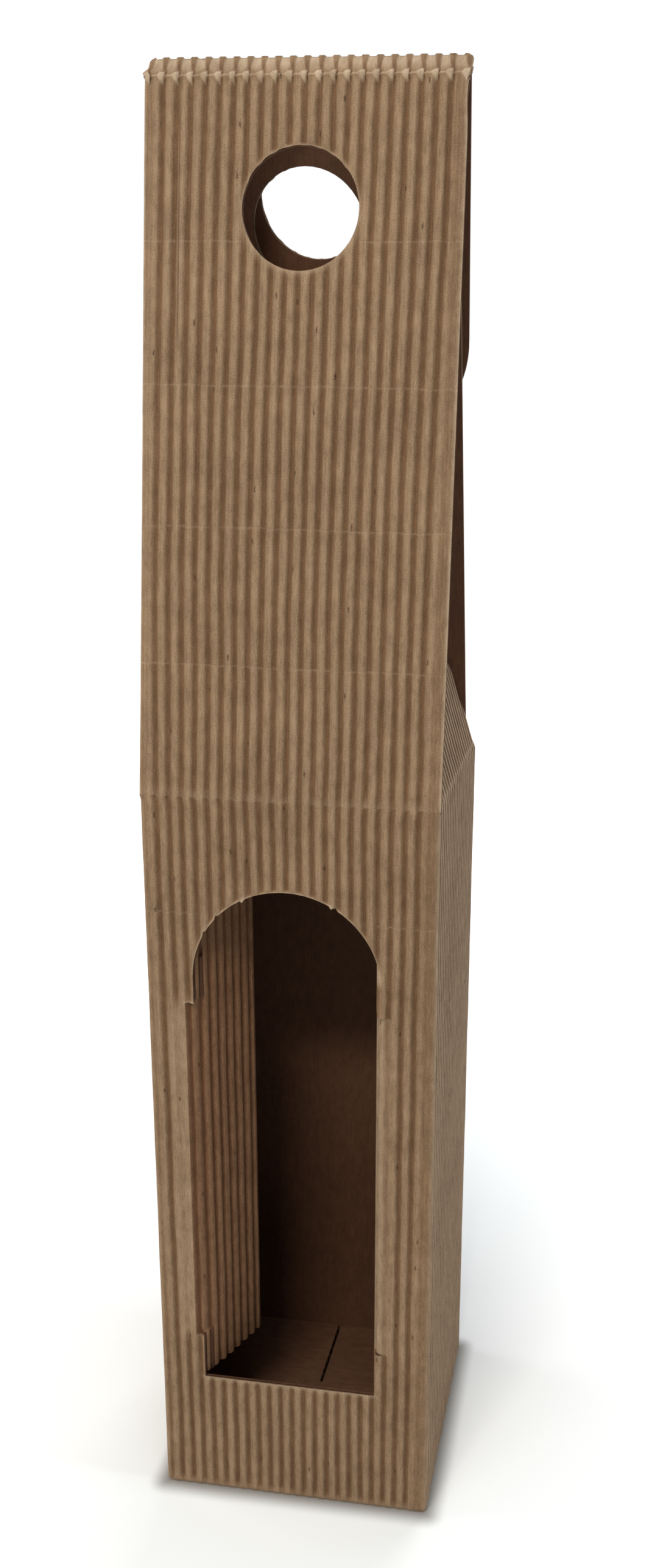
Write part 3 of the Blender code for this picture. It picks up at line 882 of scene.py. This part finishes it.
def make_leaves(front):
    """The two window leaves, and the paper that bends from the front wall into each."""
    marks = np.concatenate([FOLD_FOOT - EAR_STEPS, FOLD_HEAD + EAR_STEPS])
    rows = with_marks(spread(SILL + LEAF_GAP, SPRING, 3.0), marks)
    cap = spread(SPRING, SPRING + LEAF_ARCH, 2.0)
    arch = LEAF_WIDTH - LEAF_ARCH * np.cos(np.linspace(0.02, math.pi / 2, 30))
    extras = np.concatenate([arch, around(LEFT_NICK, 1.5, 0.3), around(RIGHT_NICK, 1.5, 0.3)])

    def leaf_sheet(step, side, fold):
        """The leaf beyond its fold, and on the right also the parts behind the ears."""
        columns = with_marks(spread(LEAF_GAP, LEAF_WIDTH, step, extras), [fold], 0.1)
        free = between(columns, fold, LEAF_WIDTH)
        held = -between(columns, EAR_BACK, fold)[::-1]
        free = free if side > 0 else -free[::-1]
        sheet = Sheet()
        sheet.block(free, rows)
        sheet.block(free, cap, high=leaf_top(free))
        if side < 0:
            sheet.blocks(held, rows, [(rows[0], FOLD_FOOT), (FOLD_HEAD, SPRING)])
            sheet.block(held, cap, high=leaf_top(held))
        return sheet

    for label, side, hinge, angle, fold in (
            ("left", 1.0, LEAF_HINGE_LEFT, LEAF_LEFT_OPEN, LEAF_FOLD_LEFT),
            ("right", -1.0, LEAF_HINGE_RIGHT, -LEAF_RIGHT_OPEN, LEAF_FOLD_RIGHT)):
        outward = RIGHT * math.sin(angle) - BACK * math.cos(angle)
        board = Board(RIGHT * hinge - BACK * (HALF_DEPTH - BOARD), UP, outward, face=BOARD)
        free, far = side * LEAF_WIDTH, -side * 50.0
        # Both leaves use the leaf kraft, whose darker colour is painted shade.
        leaf = Panel(label + "_window_leaf", board, label + "_leaf", shift=hinge, fluting="leaf",
                     margin=(min(free, far), max(free, far), 0.3, 0.3))
        leaf.make(leaf_sheet(FRONT_STEP, side, fold), leaf_sheet(SMOOTH_STEP, side, fold))
        if side > 0:
            make_left_leaf_fold(front, leaf, rows, cap)
        else:
            make_right_leaf_fold(front, leaf, rows)


def fold_fields(u, v, fade, rubbed):
    """Depth, dip, wear and chart of the flutes on a strip, at places on the front wall's blank; the dip
    carries painted valley shade.
    """
    dip = flute_wave(flute_phase(u, v))[0] * fade
    chart = np.stack([u, v, np.zeros(u.shape)], axis=-1)
    return -FLUTE_DEPTH * dip, {"chart": chart, "dip": dip, "wear": rubbed * np.ones(u.shape)}


def make_left_leaf_fold(front, leaf, rows, cap):
    """Paper from the fold on the front wall to the left leaf; beside the ears it passes behind them."""
    t = np.linspace(0.0, 1.0, 40)
    across = t * LEAF_FOLD_LEFT
    hidden = SPRING + 8.5 * (1.0 - ease((across - 1.0) / 2.5))
    head = np.maximum(leaf_top(across), hidden)
    part = (cap[1:] - cap[0]) / (cap[-1] - cap[0])
    heights = np.concatenate([np.broadcast_to(rows[:, None], (len(rows), len(t))),
                              SPRING + part[:, None] * (head - SPRING)[None, :]])
    lines = heights[:, 0]
    step = EAR_STEPS[-1]
    behind = 1.0 - ease((lines - FOLD_FOOT) / step + 1.0) * ease((FOLD_HEAD - lines) / step + 1.0)
    behind = behind[:, None]
    at_wall = front.board.point(FOLD_LEFT, lines)
    at_ear = RIGHT * -28.0 - BACK * 37.95 + UP * lines[:, None]
    at_leaf = leaf.board.point(LEAF_FOLD_LEFT, lines)
    clear = leaf.board.point(EAR_BACK, lines)
    pull_wall = at_wall + 0.33 * (at_leaf - at_wall) + 0.25 * RIGHT
    pull_ear = at_ear + 0.3 * RIGHT + 1.5 * BACK
    pull_clear = clear + leaf.board.across * 2.0
    pull_leaf = at_leaf - leaf.board.across * 3.0
    curve = bend(passing(at_wall, at_ear, behind), passing(pull_wall, pull_ear, behind),
                 pull_leaf, at_leaf, t)
    curve[..., 2] = heights
    under = bend(passing(at_wall, clear, behind), passing(pull_wall, pull_clear, behind),
                 pull_leaf, at_leaf, t)
    under[..., 2] = np.minimum(heights, leaf_top(np.maximum(across, EAR_BACK))[None, :])
    normal = blended_normals(front.board, leaf.board, t, len(lines))
    u = np.broadcast_to(FOLD_LEFT + t * (LEAF_HINGE_LEFT + LEAF_FOLD_LEFT - FOLD_LEFT), heights.shape)
    depth, fields = fold_fields(u, heights, ease(t / 0.06)[None, :], 0.0)
    over = ease((heights - leaf_top(across)[None, :]) / 0.8)
    middle = len(rows) // 2
    bodies = ("body", leaf.body, at_wall[middle], at_leaf[middle])
    # The left fold uses the leaf kraft too: painted shade.
    bend_strip(leaf.name + "_fold", curve + normal * (depth - over * (1.0 - t))[..., None],
               under - normal * LINING_DROP, normal, fields, bodies, "leaf")


def make_right_leaf_fold(front, leaf, rows):
    """The wide round bend between the front wall and the right leaf, with its flutes almost pressed out."""
    t = np.linspace(0.0, 1.0, 26)
    lines = between(rows, FOLD_FOOT, FOLD_HEAD)
    at_wall = front.board.point(FOLD_RIGHT, lines)
    at_leaf = leaf.board.point(-LEAF_FOLD_RIGHT, lines)
    curve = bend(at_wall, at_wall - RIGHT * 4.2, at_leaf + leaf.board.across * 4.0, at_leaf, t)
    normal = blended_normals(front.board, leaf.board, t, len(lines))
    u, heights = np.broadcast_arrays(FOLD_RIGHT + t * (LEAF_HINGE_RIGHT - LEAF_FOLD_RIGHT - FOLD_RIGHT),
                                     lines[:, None])
    pressed = np.sin(math.pi * t)[None, :]
    depth, fields = fold_fields(u, heights, 1.0 - 0.75 * pressed, 0.35 * pressed)
    middle = len(lines) // 2
    bodies = ("body", leaf.body, at_wall[middle], at_leaf[middle])
    bend_strip(leaf.name + "_fold", curve + normal * depth[..., None], curve - normal * LINING_DROP,
               normal, fields, bodies)


def make_gussets(walls, rear_lean):
    """Flaps that lean in from the side shoulders, each as wide as the space between the handle panels."""
    for label, side, turn in (("right", 1.0, 3.0), ("left", -1.0, 4.0)):
        outer = RIGHT * side
        along = UP * math.cos(GUSSET_LEAN) - outer * math.sin(GUSSET_LEAN)
        outward = outer * math.cos(GUSSET_LEAN) + UP * math.sin(GUSSET_LEAN)
        board = Board(outer * (HALF_WIDTH - BOARD) + UP * SHOULDER, along, outward, SHOULDER, BOARD, turn)

        def taper(u, v, side=side):
            """Share u of the half width becomes a true place between the slanting edges."""
            front = -GUSSET_HALF + math.tan(HANDLE_LEAN) * v
            rear = GUSSET_HALF - math.tan(rear_lean) * v
            part = (side * u / GUSSET_HALF + 1.0) / 2.0
            return side * (front + part * (rear - front))

        panel = Panel(label + "_gusset_flap", board, label + "_gusset", creases=[0.0], stain=3.4, taper=taper)
        plain = panel.relief
        panel.relief = lambda u, v, plain=plain, taper=taper: plain(taper(u, v), v)
        rows = spread(GUSSET_FOLD_HIGH, GUSSET_LENGTH, GUSSET_ROW)
        panel.make(Sheet().block(spread(-GUSSET_HALF, GUSSET_HALF, GUSSET_STEP), rows),
                   Sheet().block(spread(-GUSSET_HALF, GUSSET_HALF, SMOOTH_STEP), rows[::5]))
        make_gusset_fold(walls[label], panel)


def make_gusset_fold(wall, gusset):
    """The bent paper between the top of a side wall and its gusset flap."""
    places = spread(-GUSSET_HALF, GUSSET_HALF, GUSSET_STEP)
    low = SHOULDER - GUSSET_FOLD_LOW
    at_wall = wall.board.point(places, low)
    at_flap = gusset.board.point(gusset.taper(places, GUSSET_FOLD_HIGH), GUSSET_FOLD_HIGH)
    t = np.linspace(0.0, 1.0, 9)
    curve = bend(at_wall, at_wall + UP * 0.6, at_flap - gusset.board.along * 0.9, at_flap, t)
    normal = blended_normals(wall.board, gusset.board, t, len(places))
    u, across = np.broadcast_arrays(places[:, None], t[None, :])
    below = wall.relief(u, low + across * GUSSET_FOLD_LOW)
    above = gusset.relief(u, across * GUSSET_FOLD_HIGH)
    depth, dip, wear = [passing(low_one, high_one, ease(across)) for low_one, high_one in zip(below, above)]
    v = low + across * (GUSSET_FOLD_LOW + GUSSET_FOLD_HIGH)
    turn = wall.board.turn * CHART_TURN
    fields = {"chart": np.stack([u + turn, v, np.full(u.shape, turn)], axis=-1), "dip": dip, "wear": wear}
    middle = len(places) // 2
    bodies = ("body", gusset.body, at_wall[middle], at_flap[middle])
    bend_strip(gusset.name + "_fold", curve + normal * depth[..., None], curve - normal * LINING_DROP,
               normal, fields, bodies)


def set_inputs(tree, node, values):
    """Values or links for the inputs of a node, by name or number; a colour is red, green and blue."""
    for label, value in values.items():
        socket = node.inputs[label]
        if isinstance(value, bpy.types.NodeSocket):
            tree.links.new(value, socket)
        else:
            socket.default_value = (*value, 1.0) if socket.type == "RGBA" else value


def add_node(tree, kind, values=(), **settings):
    """A shader node with its settings and inputs."""
    node = tree.nodes.new(kind)
    for label, value in settings.items():
        setattr(node, label, value)
    set_inputs(tree, node, dict(values))
    return node


def math_node(tree, operation, a, b=0.0, c=0.0, clamp=False):
    """The result of a Math node."""
    node = add_node(tree, "ShaderNodeMath", {0: a, 1: b, 2: c}, operation=operation, use_clamp=clamp)
    return node.outputs[0]


def mix_colour(tree, factor, a, b, kind="MIX"):
    """The result of a colour Mix node."""
    values = {0: factor, 6: a, 7: b}
    return add_node(tree, "ShaderNodeMix", values, data_type="RGBA", blend_type=kind).outputs[2]


def new_material(name):
    """A material with its node tree and its shader."""
    material = bpy.data.materials.new(name)
    material.use_nodes = True
    return material, material.node_tree, material.node_tree.nodes["Principled BSDF"]


def kraft_paper(name, light, dark, valley, worn, fleck_amount, grain_depth, roughness):
    """Uncoated kraft: mottled pulp, fine fibres along the sheet, dark flecks and worn folds, with painted
    shade in the valleys and painted highlights and shade where the attributes give them.

    Everything is drawn on the chart attribute, which is the place on the blank in metres.
    """
    material, tree, shader = new_material(name)
    calc = partial(math_node, tree)
    mix = partial(mix_colour, tree)
    chart = add_node(tree, "ShaderNodeAttribute", attribute_name="chart").outputs["Vector"]
    dip = add_node(tree, "ShaderNodeAttribute", attribute_name="dip").outputs["Fac"]
    wear = add_node(tree, "ShaderNodeAttribute", attribute_name="wear").outputs["Fac"]

    def stretched(stretch, turn=0.0):
        """The chart, stretched along the sheet and turned."""
        values = {"Vector": chart, "Scale": stretch, "Rotation": (0.0, 0.0, turn)}
        return add_node(tree, "ShaderNodeMapping", values).outputs[0]

    def noise(scale, detail, stretch=(1.0, 1.0, 1.0), turn=0.0):
        """Noise over the stretched chart."""
        values = {"Vector": stretched(stretch, turn), "Scale": scale, "Detail": detail, "Roughness": 0.6}
        return add_node(tree, "ShaderNodeTexNoise", values).outputs["Fac"]

    broad = noise(38.0, 3.0)
    mottle = noise(420.0, 3.0, (1.0, 0.45, 1.0))
    grain = noise(3300.0, 2.0)
    hair = (1.0, 0.16, 1.0)
    strands = calc("MAXIMUM", noise(2500.0, 2.0, hair, math.radians(24.0)),
                   noise(2500.0, 2.0, hair, math.radians(-31.0)))
    streaks = noise(2600.0, 2.0, (1.0, 0.03, 1.0))
    tone = calc("MULTIPLY_ADD", broad, 0.9, calc("MULTIPLY", mottle, 1.2))
    tone = calc("MULTIPLY_ADD", grain, 2.3, tone)
    tone = calc("MULTIPLY_ADD", streaks, 1.1, tone)
    tone = calc("MULTIPLY_ADD", strands, 1.3, tone)
    tone = calc("SUBTRACT", tone, 2.985, clamp=True)
    pulp = mix(tone, dark, light)
    # The dip darkens the pulp toward the valley colour: painted shade in the valleys.
    pulp = mix(dip, pulp, mix(1.0, pulp, valley, "MULTIPLY"))
    # Positive values pale the pulp: worn paper and painted highlights.
    rubbed = calc("MULTIPLY", wear, calc("MULTIPLY_ADD", mottle, 1.4, 0.1), clamp=True)
    paled = mix(1.0, pulp, (1.6, 1.7, 1.8), "MULTIPLY")
    pulp = mix(rubbed, pulp, mix(0.55, worn, paled))
    # Negative values darken it to deep brown: painted shade, and dark lines.
    pulp = mix(calc("MULTIPLY", wear, -1.0, clamp=True), pulp, (0.075, 0.038, 0.018))
    spots = add_node(tree, "ShaderNodeTexVoronoi", {"Vector": stretched((1.0, 0.3, 1.0)), "Scale": 190.0},
                     voronoi_dimensions="2D").outputs
    chosen = add_node(tree, "ShaderNodeSeparateColor", {0: spots["Color"]}).outputs[0]
    rare = calc("GREATER_THAN", chosen, 1.0 - fleck_amount)
    near = calc("SUBTRACT", 0.12, calc("MULTIPLY_ADD", grain, 0.12, spots["Distance"]))
    spot = calc("MULTIPLY", calc("MULTIPLY", near, 30.0, clamp=True), rare)
    pulp = mix(calc("MULTIPLY", spot, 0.8), pulp, (0.05, 0.025, 0.012))
    height = calc("MULTIPLY_ADD", strands, 0.6, calc("MULTIPLY", grain, 0.5))
    height = calc("MULTIPLY_ADD", mottle, 0.8, height)
    bump = add_node(tree, "ShaderNodeBump", {"Height": height, "Strength": 0.5, "Distance": grain_depth})
    set_inputs(tree, shader, {"Base Color": pulp, "Roughness": roughness, "Specular IOR Level": 0.25,
                              "Normal": bump.outputs[0]})
    return material


def make_camera():
    """The photograph's camera: its place, its turn and its off-centre view."""
    yaw = math.radians(7.970)
    pitch = math.radians(15.606)
    roll = math.radians(-1.160)
    forward = Vector((-math.sin(yaw) * math.cos(pitch), math.cos(yaw) * math.cos(pitch), -math.sin(pitch)))
    right = Vector((math.cos(yaw), math.sin(yaw), 0.0))
    down = forward.cross(right)
    turned_right = math.cos(roll) * right + math.sin(roll) * down
    turned_down = -math.sin(roll) * right + math.cos(roll) * down
    data = bpy.data.cameras.new("camera")
    data.sensor_fit = "AUTO"
    data.sensor_width = SENSOR
    data.lens = SENSOR * FOCAL / PHOTO_HEIGHT
    data.shift_x = (PHOTO_WIDTH / 2 - CENTRE_X) / PHOTO_HEIGHT
    data.shift_y = (CENTRE_Y - PHOTO_HEIGHT / 2) / PHOTO_HEIGHT
    data.clip_start = 0.01
    matrix = Matrix((turned_right, -turned_down, -forward)).transposed().to_4x4()
    matrix.translation = Vector((87.68, -375.29, 325.63)) * MM
    camera = add_object("camera", data)
    camera.matrix_world = matrix
    bpy.context.scene.camera = camera


def area_lamp(name, place, target, width, height, power, tint=(1.0, 1.0, 1.0)):
    """A rectangular soft box that faces a target."""
    data = bpy.data.lights.new(name, "AREA")
    data.shape = "RECTANGLE"
    data.size = width
    data.size_y = height
    data.energy = power
    data.color = tint
    lamp = add_object(name, data)
    lamp.location = place
    lamp.rotation_euler = (Vector(target) - Vector(place)).to_track_quat("-Z", "Y").to_euler()


def seen_directly(tree):
    """1 for rays from the camera, mirrored or passed on, and 0 for the light that falls on things."""
    rays = add_node(tree, "ShaderNodeLightPath").outputs
    seen = math_node(tree, "MAXIMUM", rays["Is Camera Ray"], rays["Is Glossy Ray"])
    return math_node(tree, "MAXIMUM", seen, rays["Is Transmission Ray"])


def make_studio():
    """Soft boxes on all sides, and surroundings that look white and light dimly."""
    middle = (0.0, 0.0, 0.2)
    area_lamp("front_softbox", (-0.12, -1.0, 1.22), middle, 0.50, 0.12, 9.0, (1.0, 0.925, 0.80))
    area_lamp("top_softbox", (0.0, -0.36, 1.22), middle, 0.5, 0.5, 4.7, (0.91, 1.0, 1.04))
    area_lamp("low_softbox", (-0.75, -1.0, 0.12), (0.0, 0.0, 0.0), 0.3, 0.2, 2.4, (1.0, 1.0, 0.90))
    area_lamp("right_softbox", (1.4, -0.06, 0.65), middle, 0.3, 0.7, 6.2, (0.86, 1.0, 1.10))
    area_lamp("left_softbox", (-1.4, 0.1, 0.8), middle, 0.9, 0.9, 7.0)
    area_lamp("rear_softbox", (0.3, 1.4, 0.9), middle, 1.0, 1.0, 11.5)
    world = bpy.data.worlds.new("surroundings")
    bpy.context.scene.world = world
    world.use_nodes = True
    tree = world.node_tree
    strength = math_node(tree, "MULTIPLY_ADD", seen_directly(tree), 0.88, 0.12)
    set_inputs(tree, tree.nodes["Background"], {"Strength": strength, "Color": (1.0, 1.0, 1.0)})


def make_table():
    """White table: it looks white away from the object, and has a painted contact shadow in a band round the
    walls.
    """
    size = 30.0
    mesh = bpy.data.meshes.new("floor")
    mesh.from_pydata([(-size, -size, 0.0), (size, -size, 0.0), (size, size, 0.0), (-size, size, 0.0)],
                     [], [(0, 1, 2, 3)])
    floor = add_object("floor", mesh)
    material, tree, shader = new_material("white_floor")
    calc = partial(math_node, tree)
    seen = seen_directly(tree)
    place = add_node(tree, "ShaderNodeTexCoord").outputs["Object"]
    apart = add_node(tree, "ShaderNodeSeparateXYZ", {0: place}).outputs
    squares = []
    for label, half in (("X", HALF_WIDTH * MM), ("Y", HALF_DEPTH * MM)):
        beyond = calc("SUBTRACT", calc("ABSOLUTE", apart[label]), half)
        squares.append(calc("POWER", calc("MAXIMUM", beyond, 0.0), 2.0))
    gap = calc("SQRT", calc("ADD", squares[0], squares[1]))
    gap = add_node(tree, "ShaderNodeMapRange", {"Value": gap, "From Min": -0.001, "From Max": 0.0065},
                   interpolation_type="SMOOTHSTEP").outputs[0]
    # Grey within a few millimetres of the walls: painted contact shadow.
    near = mix_colour(tree, gap, (0.30, 0.28, 0.26), (1.0, 1.0, 1.0))
    away = add_node(tree, "ShaderNodeVectorMath", {0: place}, operation="LENGTH").outputs["Value"]
    away = add_node(tree, "ShaderNodeMapRange", {"Value": away, "From Min": 0.06, "From Max": 0.6,
                                                 "To Min": 0.0, "To Max": 1.0}).outputs[0]
    set_inputs(tree, shader, {"Base Color": mix_colour(tree, seen, (0.8, 0.8, 0.8), near), "Roughness": 0.9,
                              "Specular IOR Level": 0.1, "Emission Color": (1.0, 1.0, 1.0),
                              "Emission Strength": calc("MULTIPLY", seen, away)})
    mesh.materials.append(material)


def main():
    bpy.context.scene.view_settings.view_transform = "Standard"
    make_camera()
    make_studio()
    make_table()
    for look, recipe in KRAFT.items():
        LOOKS[look] = kraft_paper(*recipe)
    front, sides = make_walls()
    make_floor()
    rear_lean = make_handle()
    make_leaves(front)
    make_gussets(sides, rear_lean)


main()
